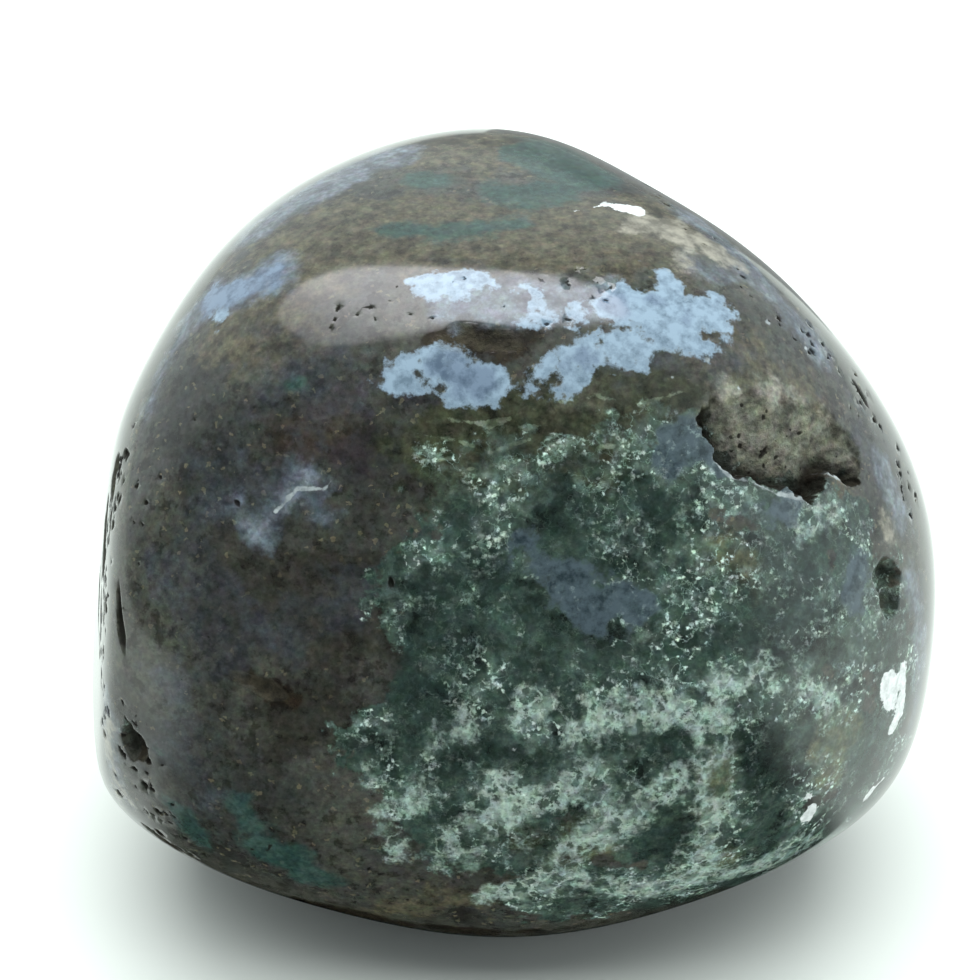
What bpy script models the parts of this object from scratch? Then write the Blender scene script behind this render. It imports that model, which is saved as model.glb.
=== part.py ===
"""A tumbled and polished lump of moss agate, as one solid stone.

The stone is worn into broad soft flats that meet in round shoulders. The polish didn't reach its hollows: a dish that
ends at a chalcedony ledge, an oval pit, a flake scar, and pits along its left side. It rests on a flat worn spot.
"""

import math

import bmesh
import bpy
import numpy as np

MM = 0.001

# The stone is described as a person sees it who looks down on its face at this angle: right and up across the view,
# and towards the viewer. All sizes are in millimetres from the stone's middle.
LOOK_DOWN = math.radians(35)
RIGHT = np.array([1.0, 0.0, 0.0])
UP = np.array([0.0, math.sin(LOOK_DOWN), math.cos(LOOK_DOWN)])
TOWARDS = np.array([0.0, -math.cos(LOOK_DOWN), math.sin(LOOK_DOWN)])

# Worn flats: clock angle in the view (0 is right, 90 is up), lean towards the viewer, distance from the middle.
RIM_FLATS = (
    (92, 2, 34.8),
    (70, 0, 37.6),
    (49, 0, 26.3),
    (25, 0, 30.6),
    (-5, 3, 32.0),
    (-38, 0, 40.6),
    (-72, -2, 28.0),
    (-105, -2, 29.0),
    (-136, 0, 36.0),
    (175, -8, 30.0),
    (154, 3, 29.3),
    (122, 0, 30.2),
)
FACE_FLATS = (
    (90, 40, 26.0),
    (30, 45, 27.5),
    (-30, 45, 29.0),
    (-90, 45, 26.0),
    (-150, 45, 31.0),
    (150, 45, 30.0),
    (-100, 84, 21.5),
)
BACK_FLATS = (
    (90, -48, 25.0),
    (30, -45, 26.0),
    (-25, -48, 28.5),
    (-155, -48, 29.0),
    (150, -45, 26.0),
    (-90, -82, 27.5),
)
RESTING_FLAT = (-90, -35, 25.4)
SIDE_FLAT = (177, 14, 28.6)
FLATS = (SIDE_FLAT,) + RIM_FLATS + FACE_FLATS + BACK_FLATS + (RESTING_FLAT,)

# How sharply the flats meet: the others in round shoulders, and the side flat at the left in a tight edge.
SHOULDER_TIGHTNESS = 10.0
EDGE_TIGHTNESS = 50.0
FLOOR_DROP = 24.6

# Low swells left by the tumbling: waves across the stone, their height and how many there are in its girth.
SWELL_HEIGHT = 0.22
SWELL_WAVES = ((5.0, 0.4, -2.0), (-1.5, 4.2, 3.1), (3.3, -3.6, 4.4))

# The dish in the face: its lower edge is a ledge of hard chalcedony. Places are right and up in the view.
LEDGE = (
    (11.6, 7.9),
    (11.8, 6.9),
    (12.4, 5.9),
    (13.7, 4.4),
    (15.7, 3.9),
    (17.5, 3.3),
    (19.2, 2.8),
    (19.7, 3.5),
    (20.2, 4.6),
    (21.0, 4.2),
    (22.3, 3.6),
)
DISH_TOP = ((22.9, 5.4), (21.9, 7.9), (19.2, 9.6), (15.0, 10.0), (12.3, 9.4))
DISH_DEPTH = 1.9
LEDGE_WALL = 0.8

# Other hollows: right, up, side (1 is the face, -1 the back), half length, half width, turn, depth, floor share.
HOLLOWS = {
    "oval_pit": (24.6, -2.7, 1, 2.1, 1.5, 80, 1.1, 0.45),
    "flake_scar": (-2.2, 12.9, 1, 3.9, 0.75, -3, 0.55, 0.35),
    "lower_left_pit": (-24.7, -13.0, 1, 1.7, 1.0, 100, 0.9, 0.4),
    "face_slit": (-16.0, -8.9, 1, 2.4, 0.7, -30, 0.45, 0.1),
    "left_pit_top": (-26.1, 4.4, 1, 1.6, 0.9, 70, 0.7, 0.2),
    "left_pit_middle": (-27.0, 0.6, 1, 2.5, 1.1, 78, 0.9, 0.2),
    "left_pit_foot": (-27.9, -3.6, 1, 2.0, 0.9, 85, 0.7, 0.2),
    "lower_rim_slit": (-23.6, -20.2, 1, 1.6, 0.6, -42, 0.6, 0.1),
    "back_dish": (9.0, 4.0, -1, 5.2, 3.4, 25, 0.9, 0.1),
    "back_scar": (-13.5, -4.5, -1, 3.4, 1.3, -50, 0.8, 0.3),
    "back_pit": (2.5, 15.5, -1, 1.6, 1.1, 10, 0.8, 0.3),
}

# Mesh sizes: steps of the plain stone, two finer steps at the hollows, and one more at the ledge, narrow hollows and
# the side flat's edge.
STONE_STEPS = 5
HOLLOW_STEPS = 2
HOLLOW_MARGIN = 1.3
DISH_MARGIN = 0.8
LEDGE_MARGIN = 0.9
EDGE_MARGIN = 0.03
NARROW_WIDTH = 1.6
NARROW_MARGIN = 1.15


def flat_planes():
    """Outward direction and distance of every worn flat."""
    clock, lean, distance = np.array(FLATS, float).T
    clock, lean = np.radians(clock), np.radians(lean)
    across = np.cos(clock)[:, None] * RIGHT + np.sin(clock)[:, None] * UP
    return np.cos(lean)[:, None] * across + np.sin(lean)[:, None] * TOWARDS, distance


PLANE_DIRECTIONS, PLANE_DISTANCES = flat_planes()


def swell(directions):
    """Height of the low swells in each direction."""
    height = sum(np.sin(directions @ np.array(wave) + i) for i, wave in enumerate(SWELL_WAVES))
    return SWELL_HEIGHT * height


def flat_reach(directions):
    """How far the side flat and the blend of the others cut into each direction, as one over mm."""
    reach = np.clip(directions @ PLANE_DIRECTIONS.T, 0, None) / PLANE_DISTANCES
    return reach[:, 0], (reach[:, 1:] ** SHOULDER_TIGHTNESS).sum(axis=1) ** (1 / SHOULDER_TIGHTNESS)


def plain_radius(directions):
    """Distance from the middle to the stone's skin, before the hollows: the flats, blended into shoulders."""
    side, others = flat_reach(directions)
    return (side**EDGE_TIGHTNESS + others**EDGE_TIGHTNESS) ** (-1 / EDGE_TIGHTNESS) + swell(directions)


def skin_point(right, up, side):
    """The point of the skin that a viewer sees at this place, on the face (side 1) or the back (side -1)."""
    near, far = 0.0, 45.0
    for _ in range(40):
        middle = (near + far) / 2
        point = right * RIGHT + up * UP + side * middle * TOWARDS
        distance = np.linalg.norm(point)
        if distance < plain_radius((point / distance)[None])[0]:
            near = middle
        else:
            far = middle
    return point


def skin_normal(point):
    """Outward normal of the skin at a point of it, from two short steps along it."""
    out = point / np.linalg.norm(point)
    sideways = np.cross(out, UP)
    sideways /= np.linalg.norm(sideways)
    upwards = np.cross(sideways, out)
    step = 0.02
    around = np.array([out + step * sideways, out - step * sideways, out + step * upwards, out - step * upwards])
    around /= np.linalg.norm(around, axis=1)[:, None]
    around *= plain_radius(around)[:, None]
    normal = np.cross(around[0] - around[1], around[2] - around[3])
    normal /= np.linalg.norm(normal)
    return normal if normal @ out > 0 else -normal


def smooth_step(share):
    share = np.clip(share, 0, 1)
    return share * share * (3 - 2 * share)


def line_distance(places, line):
    """Distance in the view from each place to a line of straight runs."""
    nearest = np.full(len(places), np.inf)
    for start, end in zip(np.array(line[:-1]), np.array(line[1:])):
        run = end - start
        along = np.clip((places - start) @ run / (run @ run), 0, 1)
        nearest = np.minimum(nearest, np.linalg.norm(places - start - along[:, None] * run, axis=1))
    return nearest


def within(places, outline):
    """Whether each place lies inside a closed outline."""
    inside = np.zeros(len(places), bool)
    x, y = places.T
    for (x0, y0), (x1, y1) in zip(outline, outline[1:] + outline[:1]):
        if y0 != y1:
            crosses = (y0 > y) != (y1 > y)
            inside ^= crosses & (x < (x1 - x0) * (y - y0) / (y1 - y0) + x0)
    return inside


class Hollow:
    """An oval hollow with its own length, width and depth, turned in the skin."""

    def __init__(self, right, up, side, half_length, half_width, turn, depth, floor_share):
        self.centre = skin_point(right, up, side)
        self.normal = skin_normal(self.centre)
        heading = math.cos(math.radians(turn)) * RIGHT + math.sin(math.radians(turn)) * UP
        heading -= (heading @ self.normal) * self.normal
        self.along = heading / np.linalg.norm(heading)
        self.across = np.cross(self.normal, self.along)
        self.half_length, self.half_width = half_length, half_width
        self.depth, self.floor_share = depth, floor_share

    def reach(self, points):
        """0 at the hollow's middle, 1 at its rim, and more outside it."""
        offset = points - self.centre
        out = np.hypot(offset @ self.along / self.half_length, offset @ self.across / self.half_width)
        return np.where(np.abs(offset @ self.normal) > self.half_length + self.depth, np.inf, out)

    def sink(self, points):
        """How far each point moves inwards."""
        wall = (1 - self.reach(points)) / (1 - self.floor_share)
        return self.depth * smooth_step(wall)


def in_view(points):
    return np.stack([points @ RIGHT, points @ UP], axis=1)


def dish_sink(points):
    """The dish drops at once behind the ledge and rises slowly to the polished skin above it."""
    places = in_view(points)
    inside = within(places, LEDGE + DISH_TOP) & (points @ TOWARDS > 0)
    from_ledge = line_distance(places, LEDGE)
    from_top = line_distance(places, LEDGE[-1:] + DISH_TOP + LEDGE[:1])
    drop = smooth_step(from_ledge / LEDGE_WALL)
    rise = smooth_step(from_top / (from_ledge + from_top))
    return np.where(inside, DISH_DEPTH * drop * rise, 0)


def near_hollows(points, hollows):
    places = in_view(points)
    outline = LEDGE + DISH_TOP
    near = within(places, outline) | (line_distance(places, outline + outline[:1]) < DISH_MARGIN)
    near &= points @ TOWARDS > 0
    for hollow in hollows:
        near |= hollow.reach(points) < HOLLOW_MARGIN
    return near


def near_fine_edges(points, hollows):
    side, others = flat_reach(points)
    near = np.abs(side / others - 1) < EDGE_MARGIN
    near |= (line_distance(in_view(points), LEDGE) < LEDGE_MARGIN) & (points @ TOWARDS > 0)
    for hollow in hollows:
        if hollow.half_width < NARROW_WIDTH:
            near |= hollow.reach(points) < NARROW_MARGIN
    return near


def refine(sphere, is_near, hollows):
    """Halves the edges of the round mesh where is_near says that the finished stone needs smaller faces."""
    middles = np.array([(e.verts[0].co + e.verts[1].co) / 2 for e in sphere.edges])
    directions = middles / np.linalg.norm(middles, axis=1)[:, None]
    chosen = is_near(directions * plain_radius(directions)[:, None], hollows)
    edges = [edge for edge, near in zip(sphere.edges[:], chosen) if near]
    bmesh.ops.subdivide_edges(sphere, edges=edges, cuts=1, use_grid_fill=True)
    bmesh.ops.triangulate(sphere, faces=sphere.faces[:])
    for vertex in sphere.verts:
        vertex.co.normalize()


def stone_points(directions, hollows):
    """Each direction's point on the finished stone, in millimetres from its middle."""
    points = directions * plain_radius(directions)[:, None]
    sunk = points - dish_sink(points)[:, None] * skin_normal(skin_point(17.0, 5.5, 1))
    for hollow in hollows:
        sunk -= hollow.sink(points)[:, None] * hollow.normal
    sunk[:, 2] = np.maximum(sunk[:, 2], -FLOOR_DROP)
    return sunk


def polished_moss_agate():
    material = bpy.data.materials.new("polished_moss_agate")
    material.use_nodes = True
    shader = material.node_tree.nodes["Principled BSDF"]
    shader.inputs["Base Color"].default_value = (0.075, 0.085, 0.072, 1)
    shader.inputs["Roughness"].default_value = 0.12
    shader.inputs["Metallic"].default_value = 0
    shader.inputs["IOR"].default_value = 1.54
    return material


def make_stone():
    hollows = [Hollow(*sizes) for sizes in HOLLOWS.values()]
    sphere = bmesh.new()
    bmesh.ops.create_icosphere(sphere, subdivisions=STONE_STEPS, radius=1)
    for _ in range(HOLLOW_STEPS):
        refine(sphere, near_hollows, hollows)
    refine(sphere, near_fine_edges, hollows)
    points = stone_points(np.array([v.co for v in sphere.verts]), hollows)
    low, high = points.min(axis=0), points.max(axis=0)
    points -= ((low[0] + high[0]) / 2, (low[1] + high[1]) / 2, low[2])
    for vertex, point in zip(sphere.verts, points * MM):
        vertex.co = point
    bmesh.ops.recalc_face_normals(sphere, faces=sphere.faces[:])
    mesh = bpy.data.meshes.new("stone")
    sphere.to_mesh(mesh)
    sphere.free()
    mesh.shade_smooth()
    mesh.materials.append(polished_moss_agate())
    stone = bpy.data.objects.new("stone", mesh)
    bpy.context.scene.collection.objects.link(stone)
    return stone


for leftover in list(bpy.data.objects):
    bpy.data.objects.remove(leftover)
make_stone()
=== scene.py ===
import math

import bmesh
import bpy
import numpy as np
from mathutils import Matrix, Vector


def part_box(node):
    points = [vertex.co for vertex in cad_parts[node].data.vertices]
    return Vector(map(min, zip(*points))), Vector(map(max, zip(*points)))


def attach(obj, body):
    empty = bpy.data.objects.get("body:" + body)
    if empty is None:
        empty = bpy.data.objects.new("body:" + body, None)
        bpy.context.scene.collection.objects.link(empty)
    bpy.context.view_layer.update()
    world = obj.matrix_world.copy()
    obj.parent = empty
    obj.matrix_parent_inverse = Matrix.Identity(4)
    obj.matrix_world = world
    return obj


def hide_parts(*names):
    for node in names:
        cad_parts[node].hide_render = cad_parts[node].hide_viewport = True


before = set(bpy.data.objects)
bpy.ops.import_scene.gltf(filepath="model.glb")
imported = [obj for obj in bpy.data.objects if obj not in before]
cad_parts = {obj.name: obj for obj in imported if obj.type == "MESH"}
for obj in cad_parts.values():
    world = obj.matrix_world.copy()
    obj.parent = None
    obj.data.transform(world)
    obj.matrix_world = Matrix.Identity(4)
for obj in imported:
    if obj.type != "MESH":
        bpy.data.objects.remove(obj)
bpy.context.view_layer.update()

# The stone
# One lump of moss agate, tumbled until its broad flats met in round shoulders, and then polished. The
# polish didn't reach its hollows and pits. It stands for the CAD solid of the same form, with the fine
# pits that the solid leaves out.

MM = 0.001

# Places in the stone are right, up and towards the person who looks down on its face, in mm from its middle.
LOOK_DOWN = math.radians(35)
RIGHT = np.array([1.0, 0.0, 0.0])
UP = np.array([0.0, math.sin(LOOK_DOWN), math.cos(LOOK_DOWN)])
TOWARDS = np.array([0.0, -math.cos(LOOK_DOWN), math.sin(LOOK_DOWN)])

# Worn flats: clock angle in the view (0 is right, 90 is up), lean towards the viewer, and distance from
# the middle.
RIM_FLATS = (
    (92, 2, 34.8),
    (70, 0, 37.6),
    (49, 0, 26.3),
    (25, 0, 30.6),
    (-5, 3, 32.0),
    (-38, 0, 40.6),
    (-72, -2, 28.0),
    (-105, -2, 29.0),
    (-136, 0, 36.0),
    (175, -8, 30.0),
    (154, 3, 29.3),
    (122, 0, 30.2),
)
FACE_FLATS = (
    (90, 40, 26.0),
    (30, 45, 27.5),
    (-30, 45, 29.0),
    (-90, 45, 26.0),
    (-150, 45, 31.0),
    (150, 45, 30.0),
    (-100, 84, 21.5),
)
BACK_FLATS = (
    (90, -48, 25.0),
    (30, -45, 26.0),
    (-25, -48, 28.5),
    (-155, -48, 29.0),
    (150, -45, 26.0),
    (-90, -82, 27.5),
)
RESTING_FLAT = (-90, -35, 25.4)
SIDE_FLAT = (177, 14, 28.6)
FLATS = (SIDE_FLAT,) + RIM_FLATS + FACE_FLATS + BACK_FLATS + (RESTING_FLAT,)

# How sharply the flats meet: the others in round shoulders, and the side flat at the left in a tight edge.
SHOULDER_TIGHTNESS = 10.0
EDGE_TIGHTNESS = 50.0

# How far below its middle the stone rests, and the low swells of its skin: their height in mm and the waves
# that they are made of.
FLOOR_DROP = 24.6
SWELL_HEIGHT = 0.22
SWELL_WAVES = ((5.0, 0.4, -2.0), (-1.5, 4.2, 3.1), (3.3, -3.6, 4.4))


def flat_planes():
    """Outward direction and distance of every worn flat."""
    clock, lean, distance = np.array(FLATS, float).T
    clock, lean = np.radians(clock), np.radians(lean)
    across = np.cos(clock)[:, None] * RIGHT + np.sin(clock)[:, None] * UP
    return np.cos(lean)[:, None] * across + np.sin(lean)[:, None] * TOWARDS, distance


PLANE_DIRECTIONS, PLANE_DISTANCES = flat_planes()


def skin_radius(directions):
    """Distance from the middle to the skin before the hollows: the flats, blended, with low swells."""
    reach = np.clip(directions @ PLANE_DIRECTIONS.T, 0, None) / PLANE_DISTANCES
    others = (reach[:, 1:] ** SHOULDER_TIGHTNESS).sum(axis=1) ** (1 / SHOULDER_TIGHTNESS)
    blended = (reach[:, 0] ** EDGE_TIGHTNESS + others**EDGE_TIGHTNESS) ** (-1 / EDGE_TIGHTNESS)
    swell = sum(np.sin(directions @ np.array(wave) + i) for i, wave in enumerate(SWELL_WAVES))
    return blended + SWELL_HEIGHT * swell


def unit(vectors):
    return vectors / np.linalg.norm(vectors, axis=-1, keepdims=True)


# A place on the skin is found by halving a line between a point outside the stone and one inside it.
LINE_HALVINGS = 36
JUST_INSIDE = 0.999
FAR_OUTSIDE = 60.0


def skin_between(outside, inside):
    """The skin's points on the lines from points outside the stone to points inside it."""
    for _ in range(LINE_HALVINGS):
        middle = (outside + inside) / 2
        within = np.linalg.norm(middle, axis=1) < skin_radius(unit(middle))
        inside = np.where(within[:, None], middle, inside)
        outside = np.where(within[:, None], outside, middle)
    return inside


def skin_normals(points):
    """Outward normals of the skin, from short steps along it."""
    out = unit(points)
    sideways = unit(np.cross(out, UP))
    upwards = np.cross(sideways, out)
    step = 0.02
    east, west, north, south = (
        unit(out + turn) * skin_radius(unit(out + turn))[:, None]
        for turn in (step * sideways, -step * sideways, step * upwards, -step * upwards)
    )
    normals = unit(np.cross(east - west, north - south))
    return normals * np.sign((normals * out).sum(axis=1, keepdims=True))


# The camera that the stone's places are read from: its lens, its frame and its place from the stone's middle.
PICTURE_SIZE = 980
LENS = 85.0
SENSOR = 36.0
CAMERA = -1.42 * RIGHT + 3.55 * UP + 166.0 * TOWARDS


def seen_at(places):
    """The skin's points at places of the picture, in pixels, or the nearest ones past the stone's edge."""
    across, down = (np.array(places, float).T - PICTURE_SIZE / 2) * SENSOR / LENS / PICTURE_SIZE
    rays = unit(-TOWARDS + across[:, None] * RIGHT - down[:, None] * UP)
    nearest = CAMERA - (rays @ CAMERA)[:, None] * rays
    reach = skin_radius(unit(nearest)) * JUST_INSIDE
    inside = nearest * np.minimum(1, reach / np.linalg.norm(nearest, axis=1))[:, None]
    return skin_between(np.tile(CAMERA, (len(rays), 1)), inside)


def hidden_at(places):
    """The skin's points on the far side, at places given as mm right and up in the same view."""
    middle = np.array([right * RIGHT + up * UP for right, up in places])
    return skin_between(middle - FAR_OUTSIDE * TOWARDS, middle)


def faced_at(places):
    """The skin's points on the near side, at places given as mm right and up."""
    middle = np.array([right * RIGHT + up * UP for right, up in places])
    return skin_between(middle + FAR_OUTSIDE * TOWARDS, middle)


# The dish in the face ends at a ledge of hard chalcedony. Its places are mm right and up.
LEDGE = (
    (11.6, 7.9),
    (11.8, 6.9),
    (12.4, 5.9),
    (13.7, 4.4),
    (15.7, 3.9),
    (17.5, 3.3),
    (19.2, 2.8),
    (19.7, 3.5),
    (20.2, 4.6),
    (21.0, 4.2),
    (22.3, 3.6),
)
DISH_TOP = ((22.9, 5.4), (21.9, 7.9), (19.2, 9.6), (15.0, 10.0), (12.3, 9.4))
DISH_MIDDLE = (17.0, 5.5)

# How deep the dish is, and the depth from which it counts as begun, in mm.
DISH_DEPTH = 1.9
DISH_RIM_DEPTH = 0.02

# How wide the ledge's wall is, how far its shadow reaches, and the waves that it wavers in, each with its
# height in mm.
LEDGE_WALL = 0.5
LEDGE_SHADOW = 2.0
LEDGE_WAVER = ((2.3, 0.16), (5.1, 0.1), (9.7, 0.05))


def smooth_step(share):
    share = np.clip(share, 0, 1)
    return share * share * (3 - 2 * share)


def line_distance(places, line):
    """Distance from each place to a line of straight runs, in the view or in space."""
    nearest = np.full(len(places), np.inf)
    line = np.array(line)
    if len(line) == 1:
        return np.linalg.norm(places - line[0], axis=1)
    for start, end in zip(line[:-1], line[1:]):
        run = end - start
        along = np.clip((places - start) @ run / (run @ run), 0, 1)
        nearest = np.minimum(nearest, np.linalg.norm(places - start - along[:, None] * run, axis=1))
    return nearest


def within(places, outline):
    """Whether each place lies inside a closed outline."""
    inside = np.zeros(len(places), bool)
    x, y = places.T
    for (x0, y0), (x1, y1) in zip(outline, outline[1:] + outline[:1]):
        if y0 != y1:
            crosses = (y0 > y) != (y1 > y)
            inside ^= crosses & (x < (x1 - x0) * (y - y0) / (y1 - y0) + x0)
    return inside


def in_view(points):
    return np.stack([points @ RIGHT, points @ UP], axis=1)


def dish_sink(points):
    """The dish drops at once behind the ledge and rises slowly to the polished skin above it."""
    places = in_view(points)
    for waves, height in LEDGE_WAVER:
        places += height * np.sin(places[:, ::-1] * waves + waves)
    inside = within(places, LEDGE + DISH_TOP) & (points @ TOWARDS > 0)
    from_ledge = line_distance(places, LEDGE)
    from_top = line_distance(places, LEDGE[-1:] + DISH_TOP + LEDGE[:1])
    drop = smooth_step(from_ledge / LEDGE_WALL)
    rise = smooth_step(from_top / (from_ledge + from_top))
    return np.where(inside, DISH_DEPTH * drop * rise, 0)


# The other hollows of the solid: right, up, on the near side or not, half length, half width, turn, depth
# and the floor's share of the whole.
HOLLOWS = {
    "oval_pit": (24.6, -2.7, True, 2.1, 1.5, 80, 1.1, 0.45),
    "flake_scar": (-2.2, 12.9, True, 3.9, 1.0, -3, 0.25, 0.1),
    "lower_left_pit": (-24.7, -13.0, True, 1.7, 1.0, 100, 0.9, 0.4),
    "face_slit": (-16.0, -8.9, True, 2.4, 0.7, -30, 0.45, 0.1),
    "left_pit_top": (-26.1, 4.4, True, 1.6, 0.9, 70, 0.7, 0.2),
    "left_pit_middle": (-27.0, 0.6, True, 2.5, 1.1, 78, 0.9, 0.2),
    "left_pit_foot": (-27.9, -3.6, True, 2.0, 0.9, 85, 0.7, 0.2),
    "lower_rim_slit": (-23.6, -20.2, True, 1.6, 0.6, -42, 0.6, 0.1),
    "back_dish": (9.0, 4.0, False, 5.2, 3.4, 25, 0.9, 0.1),
    "back_scar": (-13.5, -4.5, False, 3.4, 1.3, -50, 0.8, 0.3),
    "back_pit": (2.5, 15.5, False, 1.6, 1.1, 10, 0.8, 0.3),
}

# The rims are uneven: how many lobes go round them, and how much they take from and add to the rim.
RIM_LOBES = (2, 3, 5, 7)
RIM_UNEVENNESS = 0.3


class Hollow:
    """A hollow of its own length, width and depth, turned in the skin: an oval with an uneven rim."""

    def __init__(self, centre, half_length, half_width, turn, depth, floor_share):
        self.centre = centre
        self.normal = skin_normals(centre[None])[0]
        heading = math.cos(math.radians(turn)) * RIGHT + math.sin(math.radians(turn)) * UP
        self.along = unit(heading - (heading @ self.normal) * self.normal)
        self.across = np.cross(self.normal, self.along)
        self.half_length, self.half_width = half_length, half_width
        self.depth, self.floor_share = depth, floor_share

    def reach(self, points):
        """0 at the hollow's middle, 1 at its rim, and more outside it."""
        offset = points - self.centre
        along, across = offset @ self.along / self.half_length, offset @ self.across / self.half_width
        angle = np.arctan2(across, along)
        first_lobe = self.centre.sum()
        uneven = sum(np.sin(lobes * (angle + first_lobe)) / lobes for lobes in RIM_LOBES)
        out = np.hypot(along, across) * (1 + RIM_UNEVENNESS * uneven)
        return np.where(np.abs(offset @ self.normal) > self.half_length + self.depth, np.inf, out)

    def sink(self, points):
        return self.depth * smooth_step((1 - self.reach(points)) / (1 - self.floor_share))


hollows = [
    Hollow((faced_at if near_side else hidden_at)([(right, up)])[0], *sizes)
    for right, up, near_side, *sizes in HOLLOWS.values()
]

# Fine pits that the polish opened. A field of them is a stroke of a brush over the skin: its half width,
# how many, the longest half length, how many times longer than wide, the way they run, and the places of
# the stroke in the picture.
SEEN_PIT_FIELDS = {
    "left_gashes": (0.9, 22, 1.2, 3.4, 84, ((122, 470), (103, 560), (100, 650))),
    "left_side": (1.7, 90, 0.5, 2.8, 80, ((130, 440), (108, 540), (104, 640), (118, 790))),
    "left_shoulder": (2.0, 18, 0.24, 1.5, 70, ((140, 470), (140, 560))),
    "lower_left": (2.6, 50, 0.42, 2.2, -60, ((128, 720), (150, 800), (200, 862))),
    "right_flank": (2.2, 46, 0.34, 2.0, -60, ((760, 300), (830, 360), (890, 440), (915, 520))),
    "top_rim": (1.6, 12, 0.4, 2.8, -35, ((640, 190), (760, 290))),
    "left_body": (9.0, 36, 0.14, 1.4, 30, ((220, 420), (220, 720))),
    "brown_foot": (4.0, 34, 0.24, 1.8, 20, ((230, 840), (400, 900))),
    "brow": (2.6, 26, 0.18, 2.0, 40, ((330, 300), (600, 280))),
    "dish": (3.0, 30, 0.22, 1.6, 0, ((740, 430), (820, 460))),
}
HIDDEN_PIT_FIELDS = {
    "back": (26.0, 120, 0.34, 1.6, 35, ((0.0, 0.0),)),
    "back_scar": (5.0, 40, 0.5, 2.2, -50, ((-16.0, -2.0), (-10.0, -12.0))),
}
PIT_SHALLOWNESS = 0.85
PIT_FLOOR_SHARE = 0.25
SHORTEST_PIT_SHARE = 0.35
PIT_TURN_SPREAD = 14.0

chance = np.random.default_rng(7)


def scatter_pits(brush, count, longest, slenderness, turn, line):
    """Pits at random places under a brush, most of them short."""
    pits = []
    for _ in range(count):
        start = chance.integers(max(1, len(line) - 1))
        share = chance.random()
        centre = (1 - share) * line[start] + share * line[min(start + 1, len(line) - 1)]
        spot = unit(centre + brush * unit(chance.normal(size=3)) * chance.random() ** 0.5)
        half_length = longest * (SHORTEST_PIT_SHARE + (1 - SHORTEST_PIT_SHARE) * chance.random() ** 2)
        half_width = half_length / (1 + (slenderness - 1) * chance.random())
        depth = PIT_SHALLOWNESS * half_width
        own_turn = turn + chance.normal() * PIT_TURN_SPREAD
        point = spot * skin_radius(spot[None])[0]
        pits.append(Hollow(point, half_length, half_width, own_turn, depth, PIT_FLOOR_SHARE))
    return pits


pits = []
for brush, count, longest, slenderness, turn, places in SEEN_PIT_FIELDS.values():
    pits += scatter_pits(brush, count, longest, slenderness, turn, seen_at(places))
for brush, count, longest, slenderness, turn, places in HIDDEN_PIT_FIELDS.values():
    pits += scatter_pits(brush, count, longest, slenderness, turn, hidden_at(places))

# Pits with a place of their own in the picture: place, half length, half width, turn.
SINGLE_PITS = (
    ((237, 503), 0.32, 0.2, -40),
    ((391, 583), 0.42, 0.25, -75),
    ((774, 450), 0.6, 0.17, 55),
    ((338, 308), 0.3, 0.16, 70),
    ((335, 319), 0.24, 0.12, 80),
    ((330, 328), 0.14, 0.12, 0),
    ((358, 315), 0.12, 0.1, 0),
    ((371, 307), 0.2, 0.12, -40),
    ((375, 319), 0.24, 0.1, -60),
    ((389, 301), 0.18, 0.1, 0),
    ((411, 314), 0.15, 0.1, 0),
    ((433, 318), 0.18, 0.1, -30),
    ((504, 306), 0.16, 0.09, 0),
    ((547, 324), 0.26, 0.12, 10),
    ((568, 319), 0.34, 0.1, -5),
    ((568, 284), 0.26, 0.12, -45),
    ((576, 269), 0.12, 0.1, 0),
    ((585, 269), 0.12, 0.1, 0),
    ((598, 282), 0.14, 0.1, 0),
    ((602, 292), 0.16, 0.1, 0),
    ((606, 300), 0.24, 0.09, -10),
    ((861, 394), 1.0, 0.32, -55),
    ((655, 184), 0.9, 0.18, -30),
    ((120, 620), 2.6, 0.34, 88),
)
for place, half_length, half_width, turn in SINGLE_PITS:
    pits.append(Hollow(seen_at([place])[0], half_length, half_width, turn, half_width, PIT_FLOOR_SHARE))


def pit_fields(points):
    """How deep the fine pits are at each point, and how near it is to one: 1 in its middle, 0 at its rim."""
    sunk = np.zeros_like(points)
    nearness = np.full(len(points), -2.0)
    for pit in pits:
        close = np.flatnonzero(((points - pit.centre) ** 2).sum(axis=1) < (3 * pit.half_length) ** 2)
        nearness[close] = np.maximum(nearness[close], 1 - pit.reach(points[close]))
        sunk[close] += pit.sink(points[close])[:, None] * pit.normal
    return sunk, nearness


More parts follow.
